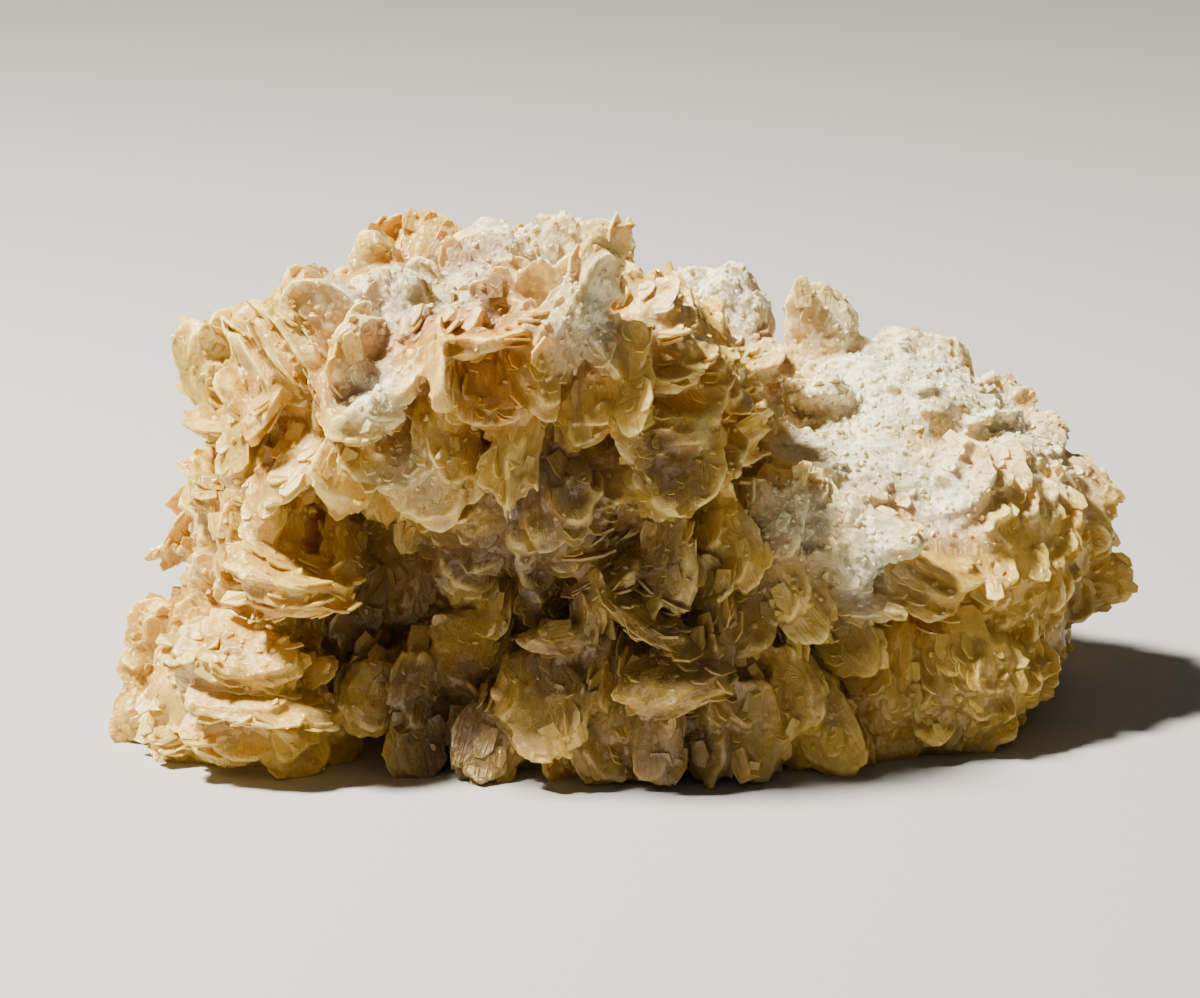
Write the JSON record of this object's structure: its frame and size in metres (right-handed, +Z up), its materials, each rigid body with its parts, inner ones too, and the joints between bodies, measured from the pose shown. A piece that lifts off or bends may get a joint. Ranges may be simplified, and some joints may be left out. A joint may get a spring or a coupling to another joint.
{
  "type": "barite crystal cluster",
  "caption": "Barite specimen: tabular crystals grown together over a knobbly mass with an overhang, cut off flat below where it broke from its rock.",
  "frame": {"origin": "centre of the bounding box's base, on the flat broken underside", "axes": "+Z up, the front with its overhang faces -Y, and the cluster's length runs along X"},
  "size_m": [0.1028, 0.0586, 0.0523],
  "materials": {
    "barite": "translucent ivory to honey yellow crystal, satin broad faces, sugary white on the upper sides"
  },
  "bodies": {
    "root": {"barite_cluster": "barite"}
  },
  "joints": []
}
